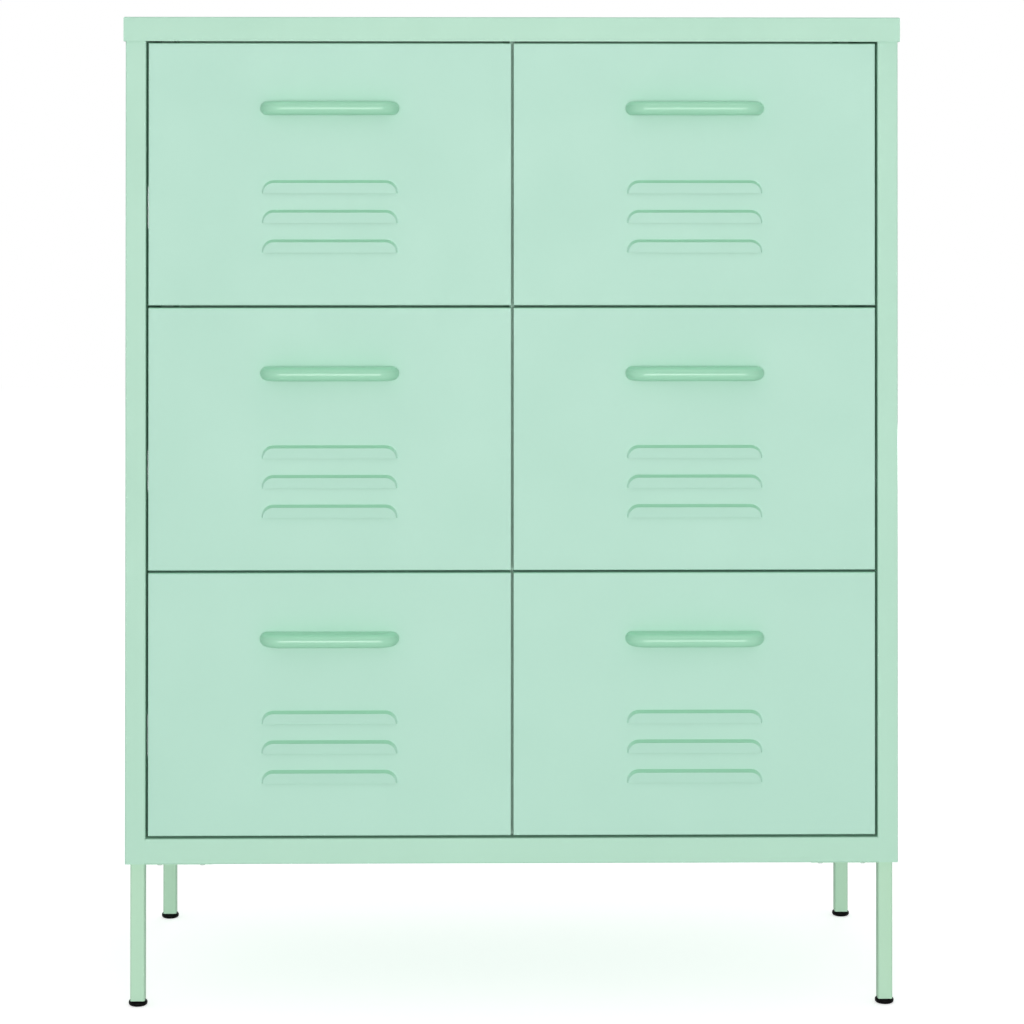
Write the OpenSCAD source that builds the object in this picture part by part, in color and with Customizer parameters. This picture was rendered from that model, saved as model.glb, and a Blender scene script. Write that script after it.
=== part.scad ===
/* [Cabinet] */
// Width of the body over its two side panels
body_w = 796; // [700:1:1000]
// Depth of the body from the drawer fronts to the outside of the back panel
body_d = 346; // [345:1:450]
// Height from the underside of the body to the top of the lid
body_h = 871; // [860:1:1200]
// Height of the body's underside above the floor
stand_h = 147.5; // [60:0.5:300]
// Thickness of the painted sheet steel
sheet = 0.8; // [0.6:0.1:1.1]
// Outside radius of the folds in the sheet steel
fold_r = 1.5; // [1.2:0.1:2]

/* [Lid] */
// How far the lid stands out past the body on every side
lid_over = 2; // [1.9:0.1:8]
// Height of the lid's folded lips
lid_lip = 25; // [15:1:40]

/* [Frame] */
// Width of the side panels' front faces, beside the drawers
stile_w = 21; // [16:0.5:35]
// Depth of the folded return behind each of those faces
stile_return = 50; // [30:1:80]
// Depth of the matching return at the back, which carries the runners' rear ends
rear_return = 60; // [40:1:90]
// Height of the floor panel's front face, under the drawers
sill_h = 26; // [15:1:45]
// Depth of the lip folded back from the top of that face
sill_lip = 12; // [5:1:30]
// Thickness of the hollow divider between the two columns
divider_w = 6; // [4:0.5:12]
// Gap between the fronts' folded edges and the divider behind them
divider_set = 4; // [1:0.5:20]
// Width of the divider's fixing flanges, each side
divider_flange = 15; // [8:1:30]

/* [Drawers] */
// Gap between the lid and the top drawers
gap_top = 1.8; // [1:0.1:4]
// Gap between one row of drawers and the next
gap_row = 2.5; // [1:0.1:6]
// Gap between the bottom drawers and the floor panel's front face
gap_bottom = 2.7; // [1:0.1:6]
// Gap between a drawer front and the side panel
gap_side = 2.5; // [1:0.1:6]
// Gap between the left and the right drawer fronts
gap_centre = 3; // [1:0.1:6]
// Depth of the drawer fronts' folded edges
front_fold = 18; // [8:1:24]
// Height of the drawer box
box_h = 225; // [150:1:235]
// Height of the drawer box's floor above the front's lower edge
box_lift = 12; // [6:1:20]
// Width of the flange along the drawer box's upper edge
box_flange = 6; // [3:0.5:8]
// Width of the tabs that are welded to the drawer front
box_tab = 12; // [6:1:30]

/* [Runners] */
// Length of each runner
runner_l = 300; // [250:1:300]
// Thickness of a closed runner, from cabinet to drawer box
runner_t = 12.7; // [12:0.1:16]
// Height of a runner
runner_h = 45; // [40:1:60]
// Depth of the outer rail's channel
runner_channel = 10; // [9.5:0.1:11]
// Thickness of the rails' steel
rail_sheet = 1.2; // [1:0.1:1.3]
// Length of the lips that hold one rail inside the next
rail_lip = 3; // [2.8:0.1:4]
// Running gap between one rail and the next
rail_gap = 0.4; // [0.3:0.05:0.5]
// Gap between the fronts' folded edges and the runners behind them
runner_set = 2; // [1:0.5:6]
// Height of the runners' middle above the drawer front's lower edge
runner_rise = 100; // [50:1:160]

/* [Handles] */
// Length of the handle
handle_l = 143; // [100:1:200]
// Height of the handle's bar
handle_h = 14.2; // [11:0.1:15.5]
// Thickness of the handle's bar from its flat back to its round front
handle_t = 8.5; // [7.8:0.1:11]
// Thickness of the plate that closes the handle's top, above the fingers
handle_top = 2.5; // [1.5:0.1:4]
// How far the handle stands out from the drawer front
handle_out = 22.5; // [22:0.5:45]
// Outside radius of the handle's two bends
handle_bend = 21.5; // [16:0.5:22]
// Depth of the handle's middle line below the drawer front's upper edge
handle_drop = 67.3; // [20:0.1:90]

/* [Louvres] */
// Number of louvres in each drawer front
louvre_count = 3; // [1:1:4]
// Width of a louvre
louvre_w = 140; // [60:1:200]
// Height of a louvre from its shoulder down to its open edge
louvre_h = 13.5; // [12.5:0.5:20]
// Radius of a louvre's two upper corners, seen from the front
louvre_corner = 12.5; // [8:0.5:12.5]
// How far a louvre stands out from the drawer front
louvre_out = 4.5; // [3.8:0.1:7]
// Width of the sloped wall between a louvre's edge and its face, seen from the front
louvre_slope = 2.8; // [1.5:0.1:4.5]
// Width of the slit at a louvre's open edge, towards which its face leans back
louvre_slit = 2; // [1:0.1:2.9]
// Distance from one louvre to the next
louvre_pitch = 30.5; // [24:0.5:34]
// Depth of the first louvre's shoulder below the drawer front's upper edge
louvre_drop = 141.3; // [100:0.1:170]

/* [Legs] */
// Width of the square leg tube
leg_w = 15; // [12:0.5:19]
// Wall of the leg tube
leg_wall = 1.2; // [0.8:0.1:2]
// Gap from the body's outside faces to the leg's
leg_inset = 5; // [2:0.5:20]
// Length of each arm of the plate at the top of a leg
plate_l = 84; // [80:1:120]
// Width of the arms of that plate
plate_w = 20; // [18:0.5:24]
// Thickness of that plate
plate_t = 1.5; // [1:0.1:4]
// Distance from the leg's middle to the nearer bolt of each arm
bolt_near = 22; // [20:0.5:40]
// Distance from the leg's middle to the farther bolt of each arm
bolt_far = 66; // [50:0.5:70]
// Diameter of the foot
foot_d = 19.5; // [17:0.5:40]
// Height of the foot
foot_h = 5.6; // [5.3:0.1:15]

/* [Wall fixing] */
// Distance between the two holes for wall anchors in the back panel
anchor_pitch = 600; // [300:1:640]
// Diameter of those holes
anchor_d = 8; // [4:0.5:12]
// Depth of those holes below the top of the lid
anchor_drop = 60; // [40:1:120]

/* [Hidden] */
$fn = 48;

// Overrun of a cut past the face that it opens
over = 0.5;
// Radial play of a shank in its thread or of a plug in its tube
play = 0.05;
// Radial play of a shank in a clearance hole
slack = 0.25;

// Handle screws and the holes that take them
screw_d = 3.9;
screw_head_d = 7.5;
screw_head_h = 2.2;
screw_grip = 7;

// Screws of the back panel
back_screw_d = 3.9;
back_head_d = 7.5;
back_head_h = 1.8;
back_screw_l = 6;
back_rows = 5;
back_row_end = 60;
divider_screws = 3;

// Leg bolts with their nuts
bolt_d = 5;
bolt_head_d = 9;
bolt_head_h = 3.6;
nut_w = 8;
nut_h = 4;
bolt_end = 1;

// Cross recess in the heads, as shares of the head's diameter and height
recess_l_share = 0.6;
recess_w_share = 0.16;
recess_h_share = 0.5;

// Foot: radius of its two round edges and length of the plug that sits in the tube
foot_edge = 2.5;
foot_plug = 18;

// Corner radius of the leg tube, outside
leg_r = 2;

mint = [0.72, 0.88, 0.80];
handle_mint = [0.66, 0.86, 0.75];
zinc = [0.72, 0.73, 0.74];
black = [0.08, 0.08, 0.08];

row_names = ["bottom", "middle", "top"];
column_names = ["left", "right"];
drawer_parts = ["front", "box", "handle", "handle_screws", "inner_rails", "middle_rails", "outer_rails"];
leg_names = ["front_left", "front_right", "back_left", "back_right"];
rows = len(row_names);

// The depth's origin is the middle of the whole cabinet, handles and lid included
y_front = (handle_out - lid_over - body_d) / 2;
y_back = y_front + body_d;
y_rear = y_back - sheet;

z_top = stand_h + body_h;
z_deck = z_top - sheet;
z_floor = stand_h + sheet;
z_open_low = stand_h + sill_h;
z_open_high = z_top - lid_lip;

x_open = body_w / 2 - stile_w;
x_web = body_w / 2 - sheet;

front_w = x_open - gap_side - gap_centre / 2;
front_h = (z_open_high - z_open_low - gap_top - gap_bottom - (rows - 1) * gap_row) / rows;
front_x = gap_centre / 2 + front_w / 2;

y_divider = y_front + front_fold + divider_set;
y_runner = y_front + front_fold + runner_set;
y_box_front = y_front + sheet;
y_box_back = y_runner + runner_l;
x_box_low = divider_w / 2 + runner_t;
x_box_high = x_open - runner_t;
box_x = (x_box_low + x_box_high) / 2;
box_w = x_box_high - x_box_low;

handle_z = front_h - handle_drop;
handle_screw_x = handle_l / 2 - handle_t / 2;
handle_screw_l = sheet + screw_grip;

rail_step = rail_sheet + rail_gap;
rail_fold = rail_sheet * 1.5;

leg_x = body_w / 2 - leg_inset - leg_w / 2;
leg_y_front = y_front + leg_inset + leg_w / 2;
leg_y_back = y_back - leg_inset - leg_w / 2;
arm_offset = (plate_w - leg_w) / 2;
arm_start = -leg_w / 2;

back_screw_x = body_w / 2 - stile_w / 2;
back_screw_low = stand_h + back_row_end;
back_screw_high = z_top - back_row_end;

// Name of one part of the drawer in a row and a column
function drawer_node(row, column, part) = str(row_names[row], "_", column_names[column], "_", part);

// Height of a row's drawer fronts, at their lower edges
function row_z(row) = z_open_low + gap_bottom + row * (front_h + gap_row);

// Unit step from one point of a square path to the next
function heading(a, b) = [sign(b.x - a.x), sign(b.y - a.y)];

// Evenly spaced value number i of count, from low to high
function spread(low, high, i, count) = low + (high - low) * i / (count - 1);

// Section of folded sheet: a strip along the points of its middle line, each square turn
// rounded to an outside radius
module folded_2d(points, t, r) {
    mid_r = r - t / 2;
    last = len(points) - 1;
    for (i = [0:last - 1]) {
        way = heading(points[i], points[i + 1]);
        from = points[i] + (i == 0 ? 0 : mid_r) * way;
        to = points[i + 1] - (i == last - 1 ? 0 : mid_r) * way;
        half = [abs(way.y), abs(way.x)] * t / 2;
        low = [min(from.x, to.x), min(from.y, to.y)] - half;
        high = [max(from.x, to.x), max(from.y, to.y)] + half;
        translate(low) square(high - low);
    }
    for (i = [1:last - 1]) {
        way_in = heading(points[i - 1], points[i]);
        way_out = heading(points[i], points[i + 1]);
        reach = r * (way_in - way_out);
        translate(points[i] + mid_r * (way_out - way_in)) intersection() {
            difference() {
                circle(r = r);
                circle(r = r - t);
            }
            translate([min(0, reach.x), min(0, reach.y)]) square(r);
        }
    }
}

// Rectangle under the X axis whose two upper corners are round
module arch_2d(w, h, r) {
    translate([-w / 2 + r, -h]) square([w - 2 * r, h]);
    translate([-w / 2, -h]) square([w, h - r]);
    for (side = [-1, 1]) translate([side * (w / 2 - r), -r]) intersection() {
        circle(r = r);
        translate([-r, 0]) square([2 * r, r]);
    }
}

// Rectangle about the origin whose four corners are round
module round_rectangle_2d(w, d, r) {
    square([w - 2 * r, d], center = true);
    square([w, d - 2 * r], center = true);
    for (x = [-1, 1], y = [-1, 1]) translate([x * (w / 2 - r), y * (d / 2 - r)]) circle(r = r);
}

// Block under the XY plane whose four upper edges are round
module eased_block(w, d, h, r) {
    intersection() {
        rotate([90, 0, 0]) linear_extrude(d, center = true) arch_2d(w, h, r);
        rotate([90, 0, 90]) linear_extrude(w, center = true) arch_2d(d, h, r);
    }
}

// Sheet pan, face up at the XY plane, with its four edges folded down
module pan(w, d, h) {
    difference() {
        eased_block(w, d, h, fold_r);
        translate([0, 0, -sheet]) eased_block(w - 2 * sheet, d - 2 * sheet, h, fold_r - sheet);
    }
}

// Domed screw with its head under the XY plane and its shank upwards
module screw(shank_d, shank_l, head_d, head_h) {
    dome_r = (pow(head_d / 2, 2) + pow(head_h, 2)) / (2 * head_h);
    difference() {
        union() {
            intersection() {
                translate([0, 0, dome_r - head_h]) sphere(r = dome_r);
                translate([0, 0, -head_h]) cylinder(d = head_d, h = head_h);
            }
            cylinder(d = shank_d, h = shank_l);
        }
        for (turn = [0, 90]) rotate([0, 0, turn])
            translate([-head_d * recess_l_share / 2, -head_d * recess_w_share / 2, -head_h - over])
                cube([head_d * recess_l_share, head_d * recess_w_share, head_h * recess_h_share + over]);
    }
}

// Lid: a pan that caps the body
module lid() {
    color(mint) translate([0, y_front + body_d / 2, z_top])
        pan(body_w + 2 * lid_over, body_d + 2 * lid_over, lid_lip);
}

// Right side panel: web, front face, back flange, both returns and the two end flanges
module side_panel() {
    color(mint) difference() {
        union() {
            translate([0, 0, stand_h]) linear_extrude(z_deck - stand_h) folded_2d([
                [x_open + sheet / 2, y_front + stile_return],
                [x_open + sheet / 2, y_front + sheet / 2],
                [x_web + sheet / 2, y_front + sheet / 2],
                [x_web + sheet / 2, y_rear - sheet / 2],
                [x_open + sheet / 2, y_rear - sheet / 2],
                [x_open + sheet / 2, y_rear - rear_return]
            ], sheet, fold_r);
            for (z = [z_floor, z_deck - sheet])
                translate([x_open + sheet / 2, y_front + fold_r, z])
                    cube([stile_w - sheet, y_rear - y_front - 2 * fold_r, sheet]);
        }
        translate([x_open - over, y_front + sheet, stand_h - over])
            cube([x_web - x_open + over, y_rear - y_front - 2 * sheet, sheet + over]);
        translate([x_open - over, y_front - over, stand_h + fold_r])
            cube([fold_r + over, fold_r + over, sill_h - 2 * fold_r]);
        leg_bolt_holes();
        back_screw_holes(play);
    }
}

// Floor of the body: its front face with a lip, flush with the side panels' faces, its plate and its
// back skirt
module bottom_panel() {
    color(mint) difference() {
        union() {
            rotate([90, 0, 90]) linear_extrude(2 * x_open, center = true) folded_2d([
                [y_front + sill_lip, z_open_low - sheet / 2],
                [y_front + sheet / 2, z_open_low - sheet / 2],
                [y_front + sheet / 2, stand_h + sheet / 2],
                [y_rear - sheet / 2, stand_h + sheet / 2],
                [y_rear - sheet / 2, z_open_low]
            ], sheet, fold_r);
            translate([-x_web, y_front + sheet, stand_h])
                cube([2 * x_web, y_rear - y_front - 2 * sheet, sheet]);
            translate([-x_open - fold_r, y_front, stand_h + fold_r])
                cube([2 * (x_open + fold_r), sheet, sill_h - 2 * fold_r]);
        }
        leg_bolt_holes();
        back_screw_holes(play);
    }
}

// Back panel, screwed to the side panels, the divider and the floor's skirt
module back_panel() {
    color(mint) difference() {
        translate([-x_web, y_rear, stand_h]) cube([2 * x_web, sheet, z_deck - stand_h]);
        for (side = [-1, 1]) translate([side * anchor_pitch / 2, y_back + over, z_top - anchor_drop])
            rotate([90, 0, 0]) cylinder(d = anchor_d, h = sheet + 2 * over);
        back_screw_holes(slack);
    }
}

// Divider between the columns: a flat tube with a flange at each end
module centre_divider() {
    depth = y_rear - y_divider;
    color(mint) difference() {
        union() {
            translate([0, y_divider + depth / 2, z_floor]) linear_extrude(z_deck - z_floor) difference() {
                round_rectangle_2d(divider_w, depth, fold_r);
                round_rectangle_2d(divider_w - 2 * sheet, depth - 2 * sheet, fold_r - sheet);
            }
            for (z = [z_floor, z_deck - sheet])
                translate([-divider_w / 2 - divider_flange, y_divider + fold_r, z])
                    cube([divider_w + 2 * divider_flange, depth - 2 * fold_r, sheet]);
        }
        translate([-divider_w, y_rear - fold_r, z_floor - over])
            cube([2 * divider_w, fold_r + over, z_open_low - z_floor + over]);
        back_screw_holes(play);
    }
}

// Puts its children at each place where a screw holds the back panel
module at_back_screws() {
    for (side = [-1, 1], i = [0:back_rows - 1])
        translate([side * back_screw_x, y_back, spread(back_screw_low, back_screw_high, i, back_rows)])
            children();
    for (i = [0:divider_screws - 1])
        translate([0, y_back, spread(back_screw_low, back_screw_high, i, divider_screws)]) children();
    for (side = [-1, 1])
        translate([side * x_open / 2, y_back, (z_floor + z_open_low) / 2]) children();
}

// Holes for those screws, with some radial room
module back_screw_holes(room) {
    at_back_screws() rotate([90, 0, 0]) translate([0, 0, -over])
        cylinder(d = back_screw_d + 2 * room, h = back_screw_l + 2 * over);
}

module back_screws() {
    color(zinc) at_back_screws() rotate([90, 0, 0])
        screw(back_screw_d, back_screw_l, back_head_d, back_head_h);
}

// Puts its children at one leg, with +X and +Y towards the middle of the cabinet
module at_leg(i) {
    right = i % 2 == 1;
    back = i >= 2;
    translate([right ? leg_x : -leg_x, back ? leg_y_back : leg_y_front, 0])
        mirror([right ? 1 : 0, 0, 0]) mirror([0, back ? 1 : 0, 0]) children();
}

// Puts its children at the four bolts of every leg plate: those along X, then those along Y
module at_leg_bolts(along_x, along_y) {
    for (i = [0:len(leg_names) - 1]) at_leg(i) for (reach = [bolt_near, bolt_far]) {
        if (along_x) translate([reach, arm_offset, stand_h - plate_t]) children();
        if (along_y) translate([arm_offset, reach, stand_h - plate_t]) children();
    }
}

module leg_bolt_holes() {
    at_leg_bolts(true, true) translate([0, 0, -over])
        cylinder(d = bolt_d + 2 * slack, h = plate_t + 2 * sheet + 2 * over);
}

// One leg: a square tube welded under an L-shaped plate
module leg(i) {
    color(mint) difference() {
        at_leg(i) {
            translate([0, 0, foot_h]) linear_extrude(stand_h - foot_h) difference() {
                round_rectangle_2d(leg_w, leg_w, leg_r);
                square(leg_w - 2 * leg_wall, center = true);
            }
            translate([0, 0, stand_h - plate_t]) linear_extrude(plate_t) {
                translate([arm_start, arm_start]) square([plate_l, plate_w]);
                translate([arm_start, arm_start]) square([plate_w, plate_l]);
            }
        }
        leg_bolt_holes();
    }
}

// One foot: a round glide on a square plug that fills the end of the tube
module foot(i) {
    plug_w = leg_w - 2 * leg_wall - 2 * play;
    color(black) at_leg(i) {
        rotate_extrude() {
            square([foot_d / 2 - foot_edge, foot_h]);
            translate([0, foot_edge]) square([foot_d / 2, foot_h - 2 * foot_edge]);
            for (z = [foot_edge, foot_h - foot_edge])
                translate([foot_d / 2 - foot_edge, z]) circle(r = foot_edge);
        }
        translate([-plug_w / 2, -plug_w / 2, foot_h - foot_edge])
            cube([plug_w, plug_w, foot_plug + foot_edge]);
    }
}

module leg_bolts() {
    color(zinc) {
        at_leg_bolts(true, false)
            screw(bolt_d, plate_t + sheet + nut_h + bolt_end, bolt_head_d, bolt_head_h);
        at_leg_bolts(false, true)
            screw(bolt_d, plate_t + 2 * sheet + nut_h + bolt_end, bolt_head_d, bolt_head_h);
    }
}

module nut() {
    difference() {
        cylinder(d = nut_w / cos(30), h = nut_h, $fn = 6);
        translate([0, 0, -over]) cylinder(d = bolt_d + 2 * play, h = nut_h + 2 * over);
    }
}

module leg_nuts() {
    color(zinc) {
        at_leg_bolts(true, false) translate([0, 0, plate_t + sheet]) nut();
        at_leg_bolts(false, true) translate([0, 0, plate_t + 2 * sheet]) nut();
    }
}

// Puts a part of the right column's drawer in its row and column, Z from the front's lower edge
module at_drawer(row, column) {
    translate([0, 0, row_z(row)]) mirror([column == 0 ? 1 : 0, 0, 0]) children();
}

// Section of a louvre through its sloped wall, from its middle to its edge
module shoulder_2d(r, out, slope, depth) {
    polygon([[0, -depth], [r, -depth], [r, 0], [r - slope, out], [0, out]]);
}

// Hood of a louvre on the XY plane, its shoulder along Y = 0 and its open edge at Y = -h, where
// its face is only low above the plane
module hood(w, h, corner, out, low, slope, depth) {
    side_x = w / 2 - corner;
    intersection() {
        union() {
            for (side = [0, 1]) mirror([side, 0, 0]) translate([side_x, -corner, 0]) {
                rotate_extrude(angle = 90) shoulder_2d(corner, out, slope, depth);
                rotate([90, 0, 0]) linear_extrude(h - corner) shoulder_2d(corner, out, slope, depth);
            }
            translate([0, -corner, 0]) rotate([90, 0, 90]) linear_extrude(2 * side_x, center = true)
                shoulder_2d(corner, out, slope, depth);
            translate([-side_x, -h, -depth]) cube([2 * side_x, h - corner, out + depth]);
        }
        rotate([90, 0, 90]) linear_extrude(w, center = true)
            polygon([[0, -depth], [0, out], [-slope, out], [-h, low], [-h, -depth]]);
    }
}

// Puts its children at each louvre of a drawer front, X and Y along the front and Z out of it
module at_louvres() {
    for (i = [0:louvre_count - 1])
        translate([0, front_h / 2 - louvre_drop - i * louvre_pitch, 0]) children();
}

// Drawer front: a folded pan, face forward, with its louvres pressed out and open downwards
module drawer_front(row, column) {
    color(mint) at_drawer(row, column) translate([front_x, y_front, front_h / 2]) rotate([90, 0, 0])
        difference() {
            union() {
                pan(front_w, front_h, front_fold);
                at_louvres() hood(
                    louvre_w, louvre_h, louvre_corner,
                    louvre_out, louvre_slit + sheet, louvre_slope, sheet / 2
                );
            }
            at_louvres() translate([0, -sheet, 0]) hood(
                louvre_w - 2 * sheet, louvre_h - sheet, louvre_corner - sheet,
                louvre_out - sheet, louvre_slit, louvre_slope * (1 - sheet / louvre_out), sheet + over
            );
            for (side = [-1, 1])
                translate([side * handle_screw_x, handle_z - front_h / 2, -sheet - over])
                    cylinder(d = screw_d + 2 * slack, h = sheet + 2 * over);
        }
}

// Outline of the drawer box seen along its depth: square upper corners, folded lower ones
module box_outline_2d() {
    translate([box_x, box_lift]) mirror([0, 1]) arch_2d(box_w, box_h, fold_r);
}

// Drawer box: floor and sides with their flanges, a back wall and the tabs behind the front
module drawer_box(row, column) {
    top = box_lift + box_h - sheet / 2;
    color(mint) at_drawer(row, column) {
        translate([0, y_box_back, 0]) rotate([90, 0, 0]) linear_extrude(y_box_back - y_box_front)
            folded_2d([
                [x_box_low - box_flange, top],
                [x_box_low + sheet / 2, top],
                [x_box_low + sheet / 2, box_lift + sheet / 2],
                [x_box_high - sheet / 2, box_lift + sheet / 2],
                [x_box_high - sheet / 2, top],
                [x_box_high + box_flange, top]
            ], sheet, fold_r);
        translate([0, y_box_back, 0]) rotate([90, 0, 0]) linear_extrude(sheet) box_wall_2d();
        translate([0, y_box_front + sheet, 0]) rotate([90, 0, 0]) linear_extrude(sheet) difference() {
            box_wall_2d();
            translate([x_box_low + box_tab, box_lift + box_tab]) square([box_w - 2 * box_tab, box_h]);
        }
    }
}

// End wall of the drawer box, below the round turns of its upper flanges
module box_wall_2d() {
    intersection() {
        box_outline_2d();
        translate([x_box_low, box_lift]) square([box_w, box_h - fold_r]);
    }
}

// Half-round bar of the handle: flat back at X = 0, round front at X = handle_t
module handle_bar_2d() {
    flat = handle_t - handle_h / 2;
    translate([0, -handle_h / 2]) square([flat, handle_h]);
    translate([flat, 0]) intersection() {
        circle(d = handle_h);
        translate([0, -handle_h / 2]) square([handle_h / 2, handle_h]);
    }
}

// Handle: a straight bar, two bends and two short feet on the drawer front, closed by a plate on
// top and open below for the fingers
module handle(row, column) {
    leg = handle_out - handle_bend;
    bar_x = handle_l / 2 - handle_bend;
    inset = (handle_t + handle_h / 2) / 2;
    color(handle_mint) at_drawer(row, column) translate([front_x, y_front, handle_z]) difference() {
        union() {
            translate([0, -leg - handle_bend + handle_t, 0]) rotate([90, 0, -90])
                linear_extrude(2 * bar_x, center = true) handle_bar_2d();
            for (side = [0, 1]) mirror([side, 0, 0]) {
                translate([bar_x, -leg, 0]) rotate([0, 0, -90]) rotate_extrude(angle = 90)
                    translate([handle_bend - handle_t, 0]) handle_bar_2d();
                translate([handle_l / 2 - handle_t, 0, 0]) rotate([90, 0, 0]) linear_extrude(leg)
                    handle_bar_2d();
            }
            translate([0, inset - handle_out, handle_h / 2 - handle_top]) linear_extrude(handle_top)
                mirror([0, 1]) arch_2d(handle_l - 2 * inset, handle_out - inset, handle_bend - inset);
        }
        for (side = [-1, 1]) translate([side * handle_screw_x, over, 0]) rotate([90, 0, 0])
            cylinder(d = screw_d - 2 * slack + 2 * play, h = screw_grip + 2 * over);
    }
}

// The two screws that hold the handle from inside the drawer
module handle_screws(row, column) {
    color(zinc) at_drawer(row, column) for (side = [-1, 1])
        translate([front_x + side * handle_screw_x, y_front + sheet, handle_z]) rotate([90, 0, 0])
            screw(screw_d - 2 * slack, handle_screw_l, screw_head_d, screw_head_h);
}

// Section of a rail that is a channel: number 0 is fixed to the cabinet and number 1 runs in it
module channel_rail_2d(number) {
    back = number * rail_step + rail_sheet / 2;
    lip_x = runner_channel - back;
    top = runner_h / 2 - back;
    tip = top - rail_sheet / 2 - rail_lip;
    folded_2d([[lip_x, tip], [lip_x, top], [back, top], [back, -top], [lip_x, -top], [lip_x, -tip]],
        rail_sheet, rail_fold);
}

// Section of the rail on the drawer box, whose curled edges run in the middle rail
module box_rail_2d() {
    back = 2 * rail_step + rail_sheet / 2;
    curl_end = runner_channel - 2 * rail_step;
    edge = runner_h / 2 - back;
    wall = edge - rail_lip;
    face = runner_t - rail_sheet / 2;
    folded_2d([
        [curl_end, -edge], [back, -edge], [back, -wall], [face, -wall],
        [face, wall], [back, wall], [back, edge], [curl_end, edge]
    ], rail_sheet, rail_fold);
}

// One kind of rail at both sides of a drawer, section X from the cabinet's face to the box
module rail_pair(row, column) {
    at_drawer(row, column) translate([0, y_box_back, runner_rise]) {
        translate([divider_w / 2, 0, 0]) rotate([90, 0, 0]) linear_extrude(runner_l) children();
        translate([x_open, 0, 0]) mirror([1, 0, 0]) rotate([90, 0, 0]) linear_extrude(runner_l)
            children();
    }
}

module outer_rails(row, column) {
    color(zinc) rail_pair(row, column) channel_rail_2d(0);
}

module middle_rails(row, column) {
    color(zinc) rail_pair(row, column) channel_rail_2d(1);
}

module inner_rails(row, column) {
    color(zinc) rail_pair(row, column) box_rail_2d();
}

lid();
mirror([1, 0, 0]) side_panel();  // left_side_panel
side_panel();  // right_side_panel
back_panel();
bottom_panel();
centre_divider();
leg_bolts();
leg_nuts();
back_screws();
for (i = [0:len(leg_names) - 1]) {
    leg(i);
    foot(i);
}
for (r = [0:rows - 1], c = [0:len(column_names) - 1]) {
    drawer_front(r, c);
    drawer_box(r, c);
    handle(r, c);
    handle_screws(r, c);
    inner_rails(r, c);
    middle_rails(r, c);
    outer_rails(r, c);
}
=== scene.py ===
"""Drawer cabinet: finishes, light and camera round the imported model."""
import math

import bpy
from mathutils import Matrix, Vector

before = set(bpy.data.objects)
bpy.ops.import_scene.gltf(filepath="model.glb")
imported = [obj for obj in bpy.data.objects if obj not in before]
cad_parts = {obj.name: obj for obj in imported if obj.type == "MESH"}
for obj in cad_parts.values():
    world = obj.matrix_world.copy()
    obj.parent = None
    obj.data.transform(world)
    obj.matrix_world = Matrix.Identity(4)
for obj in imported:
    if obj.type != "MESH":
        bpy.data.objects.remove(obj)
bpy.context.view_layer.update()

# Camera, fitted to the straight edges of the photograph: place in metres, turns in radians, and
# the focal length and the optical axis in pixels of the photograph
PHOTO_PX = 1024
SENSOR_MM = 36
EYE = Vector((-0.0598, -2.9849, 0.8868))
YAW = -0.0128
PITCH = 0.0056
ROLL = 0.0004
FOCAL_PX = 2739
AXIS_PX = (489.4, 129.6)

# Lamps: where each stands, its two sizes in metres, its watts and whether it casts shadows. AIM is
# the point that they face, and AMBIENT the strength of the world's light
FRONT_LAMP = (Vector((0, -6.4, 0.66)), (2.8, 1.3), 149, True)
FILL_LAMP = (Vector((0, -6.4, 0.62)), (2.8, 1.3), 30, False)
HIGH_LAMP = (Vector((0.5, -2.1, 5.0)), (0.2, 0.2), 8, False)
BACK_LAMP = (Vector((1.6, 5.6, 1.2)), (2.8, 1.6), 60, True)
AIM = Vector((0, -0.16, 0.6))
AMBIENT = 0.49

# Floor: half its width in metres, its grey, and the glow that makes it read as white
FLOOR_HALF = 7
FLOOR_GREY = 0.88
FLOOR_LIFT = 0.57
WHITE = (1, 1, 1, 1)

# Paints and metals, as linear colours
MINT_A = (0.452, 0.722, 0.592, 1)
MINT_B = (0.444, 0.712, 0.582, 1)
FRAME_A = (0.452, 0.718, 0.568, 1)
FRAME_B = (0.444, 0.708, 0.558, 1)
LEG_A = (0.468, 0.718, 0.528, 1)
LEG_B = (0.460, 0.708, 0.518, 1)
HANDLE_A = (0.343, 0.672, 0.476, 1)
HANDLE_B = (0.333, 0.660, 0.464, 1)
EDGE_WEAR_AND_HIGHLIGHT = (0.62, 0.80, 0.70, 1)
ZINC_A = (0.62, 0.64, 0.66, 1)
ZINC_B = (0.50, 0.51, 0.51, 1)
BLACK_A = (0.002, 0.002, 0.002, 1)
BLACK_B = (0.004, 0.004, 0.004, 1)

# Finishes: cells of colour cloud per metre, range of roughness, grains per metre and their depth
POWDER = {"cloud": 4, "roughness": (0.52, 0.60), "grain": 650, "depth": 0.00002}
GLOSSY_POWDER = {"cloud": 12, "roughness": (0.28, 0.32), "grain": 900, "depth": 0.000003}
ZINC = {"cloud": 60, "roughness": (0.28, 0.42), "grain": 400, "depth": 0.00001}
PLASTIC = {"cloud": 90, "roughness": (0.34, 0.44), "grain": 1500, "depth": 0.00002}
ZINC_STRETCH = (1, 0.08, 1)
PLASTIC_SPECULAR = 0.04

# Noise: the span that most of its values lie in, its detail, and clouds of gloss per colour cloud
NOISE_SPAN = (0.3, 0.7)
CLOUD_DETAIL = 2
GRAIN_DETAIL = 1
WEAR_HIGHLIGHT_DETAIL = 4
GLOSS_CLOUDS = 3

# Edges lightened as wear and as a painted edge highlight: reach from the edge in metres, how
# strongly they lighten, cells of wear and highlight per metre, samples, and the agreement of
# rounded and flat normal away from an edge and on it
WEAR_HIGHLIGHT_REACH = 0.0009
WEAR_HIGHLIGHT_SHARE = 0.15
WEAR_HIGHLIGHT_SCALE = 45
WEAR_HIGHLIGHT_SAMPLES = 4
WEAR_HIGHLIGHT_SPAN = (1.0, 0.85)
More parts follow.
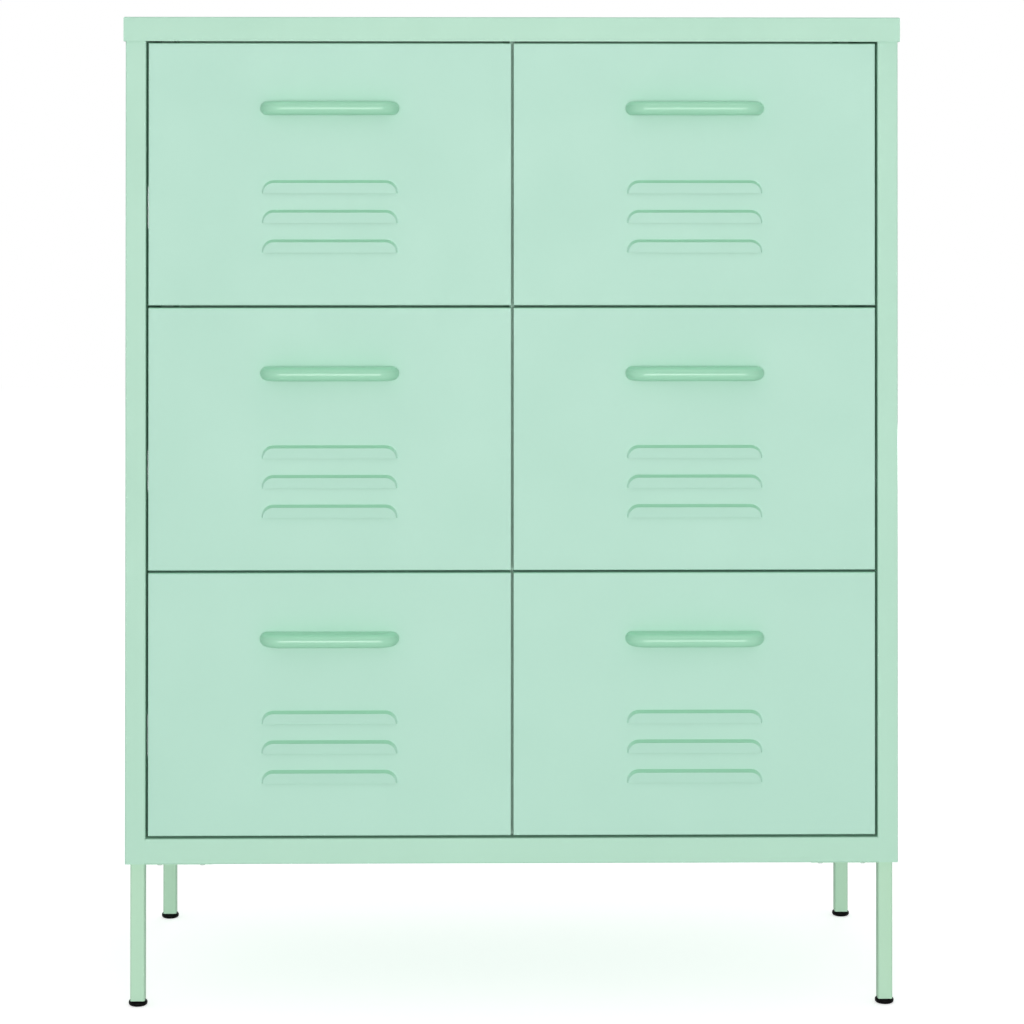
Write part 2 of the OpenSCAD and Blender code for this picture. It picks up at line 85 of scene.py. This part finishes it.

# Faces that look up get painted shade on the fronts and painted light on the handles: the painted
# colour, and the upward parts of the normals between which it comes in and goes out again
PAINTED_UPWARD_SHADE = ((0.345, 0.690, 0.480, 1), (0.3, 0.8), (0.96, 0.9))
PAINTED_HANDLE_TOP_LIGHT = ((0.376, 0.765, 0.532, 1), (0.4, 0.95), (1.2, 1.1))


def node(tree, kind, inputs=None, **settings):
    """Adds a shader node, sets its settings, and sets or links its inputs."""
    made = tree.nodes.new(kind)
    for name, value in settings.items():
        setattr(made, name, value)
    for name, value in (inputs or {}).items():
        if isinstance(value, bpy.types.NodeSocket):
            tree.links.new(value, made.inputs[name])
        else:
            made.inputs[name].default_value = value
    return made


def blank_material(name):
    """A new material with an empty node tree, and its output node."""
    material = bpy.data.materials.new(name)
    material.use_nodes = True
    material.node_tree.nodes.clear()
    return material, material.node_tree, material.node_tree.nodes.new("ShaderNodeOutputMaterial")


def noise(tree, place, scale, detail=CLOUD_DETAIL):
    """Noise in object space, from 0 to 1, with a scale in cells per metre."""
    inputs = {"Vector": place, "Scale": scale, "Detail": detail}
    return node(tree, "ShaderNodeTexNoise", inputs).outputs["Fac"]


def mapped(tree, value, span, low=0.0, high=1.0):
    """Maps a span of a value to the range from low to high."""
    start, end = span
    inputs = {"Value": value, "From Min": start, "From Max": end, "To Min": low, "To Max": high}
    return node(tree, "ShaderNodeMapRange", inputs).outputs["Result"]


def product(tree, first, second):
    """Multiplies two numbers."""
    return node(tree, "ShaderNodeMath", {0: first, 1: second}, operation="MULTIPLY").outputs[0]


def two_colours(tree, factor, first, second):
    """Mixes two colours by a factor."""
    mix = node(tree, "ShaderNodeMix", {"Factor": factor}, data_type="RGBA")
    for name, colour in (("A", first), ("B", second)):
        socket = next(s for s in mix.inputs if s.name == name and s.type == "RGBA")
        if isinstance(colour, bpy.types.NodeSocket):
            tree.links.new(colour, socket)
        else:
            socket.default_value = colour
    return next(s for s in mix.outputs if s.type == "RGBA")


def worn_edges(tree, colour, place):
    """Lightens a paint along its edges, in patches, as wear and as a painted edge highlight."""
    bevel = node(tree, "ShaderNodeBevel", {"Radius": WEAR_HIGHLIGHT_REACH}, samples=WEAR_HIGHLIGHT_SAMPLES)
    flat = node(tree, "ShaderNodeNewGeometry").outputs["Normal"]
    normals = {0: bevel.outputs["Normal"], 1: flat}
    dot = node(tree, "ShaderNodeVectorMath", normals, operation="DOT_PRODUCT")
    edge = mapped(tree, dot.outputs["Value"], WEAR_HIGHLIGHT_SPAN, high=WEAR_HIGHLIGHT_SHARE)
    patches = mapped(tree, noise(tree, place, WEAR_HIGHLIGHT_SCALE, WEAR_HIGHLIGHT_DETAIL), NOISE_SPAN)
    return two_colours(tree, product(tree, edge, patches), colour, EDGE_WEAR_AND_HIGHLIGHT)


def paint_upward_shading(tree, colour, upper, comes, goes):
    """Paints light and shade into the faces that look up, as a colour of their own that follows the
    normal.
    """
    normal = node(tree, "ShaderNodeNewGeometry").outputs["Normal"]
    up = node(tree, "ShaderNodeSeparateXYZ", {"Vector": normal}).outputs["Z"]
    painted_shading_share = product(tree, mapped(tree, up, comes), mapped(tree, up, goes))
    return two_colours(tree, painted_shading_share, colour, upper)


def principled_material(
    name, colours, cloud, roughness, grain, depth,
    metallic=0.0, stretch=(1, 1, 1), upper=None, worn=False, specular=0.5
):
    """A finish with clouded colour and gloss over a fine grain."""
    material, tree, output = blank_material(name)
    place = node(tree, "ShaderNodeTexCoord").outputs["Object"]
    mapping = node(tree, "ShaderNodeMapping", {"Vector": place, "Scale": stretch})
    stretched = mapping.outputs["Vector"]
    clouds = mapped(tree, noise(tree, stretched, cloud), NOISE_SPAN)
    colour = two_colours(tree, clouds, *colours)
    # painted shade on the fronts' upward faces and painted light on the handle tops
    if upper:
        colour = paint_upward_shading(tree, colour, *upper)
    # edges lightened by wear and a painted edge highlight
    if worn:
        colour = worn_edges(tree, colour, place)
    gloss = mapped(tree, noise(tree, stretched, cloud * GLOSS_CLOUDS), NOISE_SPAN, *roughness)
    relief = noise(tree, place, grain, GRAIN_DETAIL)
    bump = node(tree, "ShaderNodeBump", {"Height": relief, "Strength": 1.0, "Distance": depth})
    inputs = {
        "Base Color": colour,
        "Roughness": gloss,
        "Normal": bump.outputs["Normal"],
        "Metallic": metallic,
        "Specular IOR Level": specular,
    }
    shader = node(tree, "ShaderNodeBsdfPrincipled", inputs)
    tree.links.new(shader.outputs["BSDF"], output.inputs["Surface"])
    return material


def dress_nodes():
    """Gives every CAD node its finish, by the kind of part that it is."""
    make = principled_material
    # the frame, fronts and legs get edges lightened by wear and a painted edge highlight
    cabinet = make("mint_frame", (FRAME_A, FRAME_B), **POWDER, worn=True)
    metal = make("zinc_steel", (ZINC_A, ZINC_B), **ZINC, metallic=1.0, stretch=ZINC_STRETCH)
    finishes = {
        # painted shade on the louvre slopes and the other upward faces of the fronts
        "front": make("mint_paint", (MINT_A, MINT_B), **POWDER, upper=PAINTED_UPWARD_SHADE, worn=True),
        # painted light on the handles' upward faces
        "handle": make("mint_handle", (HANDLE_A, HANDLE_B), **GLOSSY_POWDER, upper=PAINTED_HANDLE_TOP_LIGHT),
        "leg": make("mint_legs", (LEG_A, LEG_B), **POWDER, worn=True),
        "foot": make("black_plastic", (BLACK_A, BLACK_B), **PLASTIC, specular=PLASTIC_SPECULAR),
        "screws": metal,
        "bolts": metal,
        "nuts": metal,
        "rails": metal,
    }
    for name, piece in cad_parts.items():
        finish = finishes.get(name.split("_")[-1], cabinet)
        for slot in piece.material_slots:
            slot.material = finish


def add_lamp(name, place, sizes, watts, shadows):
    """A rectangular lamp aimed at the cabinet."""
    data = bpy.data.lights.new(name, "AREA")
    data.shape = "RECTANGLE"
    data.size, data.size_y = sizes
    data.energy = watts
    data.use_shadow = shadows
    lamp = bpy.data.objects.new(name, data)
    lamp.location = place
    lamp.rotation_euler = (AIM - place).to_track_quat("-Z", "Y").to_euler()
    bpy.context.scene.collection.objects.link(lamp)


def seen_directly(tree):
    """1 for rays from the camera, from gloss and through glass, and 0 for the rest."""
    path = node(tree, "ShaderNodeLightPath")
    total = node(tree, "ShaderNodeMath", operation="ADD")
    tree.links.new(path.outputs["Is Camera Ray"], total.inputs[0])
    tree.links.new(path.outputs["Is Glossy Ray"], total.inputs[1])
    both = node(tree, "ShaderNodeMath", operation="ADD", use_clamp=True)
    tree.links.new(total.outputs[0], both.inputs[0])
    tree.links.new(path.outputs["Is Transmission Ray"], both.inputs[1])
    return both.outputs[0]


def make_world():
    """White where it is seen, and a plain ambient light for everything else."""
    world = bpy.data.worlds.new("studio")
    world.use_nodes = True
    tree = world.node_tree
    tree.nodes.clear()
    strength = mapped(tree, seen_directly(tree), (0, 1), low=AMBIENT)
    shader = node(tree, "ShaderNodeBackground", {"Color": WHITE, "Strength": strength})
    output = tree.nodes.new("ShaderNodeOutputWorld")
    tree.links.new(shader.outputs["Background"], output.inputs["Surface"])
    bpy.context.scene.world = world


def make_floor():
    """A pale floor that reads as white and keeps the cabinet's soft shadow."""
    mesh = bpy.data.meshes.new("floor")
    ring = [(-1, -1), (1, -1), (1, 1), (-1, 1)]
    mesh.from_pydata([(x * FLOOR_HALF, y * FLOOR_HALF, 0) for x, y in ring], [], [(0, 1, 2, 3)])
    floor = bpy.data.objects.new("floor", mesh)
    bpy.context.scene.collection.objects.link(floor)
    material, tree, output = blank_material("floor_white")
    matt = node(tree, "ShaderNodeBsdfDiffuse", {"Color": (FLOOR_GREY, FLOOR_GREY, FLOOR_GREY, 1)})
    lift = product(tree, seen_directly(tree), FLOOR_LIFT)
    glow = node(tree, "ShaderNodeEmission", {"Color": WHITE, "Strength": lift})
    both = node(tree, "ShaderNodeAddShader", {0: matt.outputs["BSDF"], 1: glow.outputs["Emission"]})
    tree.links.new(both.outputs["Shader"], output.inputs["Surface"])
    mesh.materials.append(material)


def make_camera():
    """The photograph's camera."""
    data = bpy.data.cameras.new("camera")
    data.sensor_width = SENSOR_MM
    data.lens = FOCAL_PX / PHOTO_PX * SENSOR_MM
    data.shift_x = 1 / 2 - AXIS_PX[0] / PHOTO_PX
    data.shift_y = AXIS_PX[1] / PHOTO_PX - 1 / 2
    camera = bpy.data.objects.new("camera", data)
    camera.location = EYE
    camera.rotation_euler = (math.pi / 2 + PITCH, -ROLL, YAW)
    bpy.context.scene.collection.objects.link(camera)
    bpy.context.scene.camera = camera


bpy.context.scene.view_settings.view_transform = "Standard"
make_camera()
make_floor()
make_world()
add_lamp("front_lamp", *FRONT_LAMP)
add_lamp("fill_lamp", *FILL_LAMP)
add_lamp("high_lamp", *HIGH_LAMP)
add_lamp("back_lamp", *BACK_LAMP)
dress_nodes()
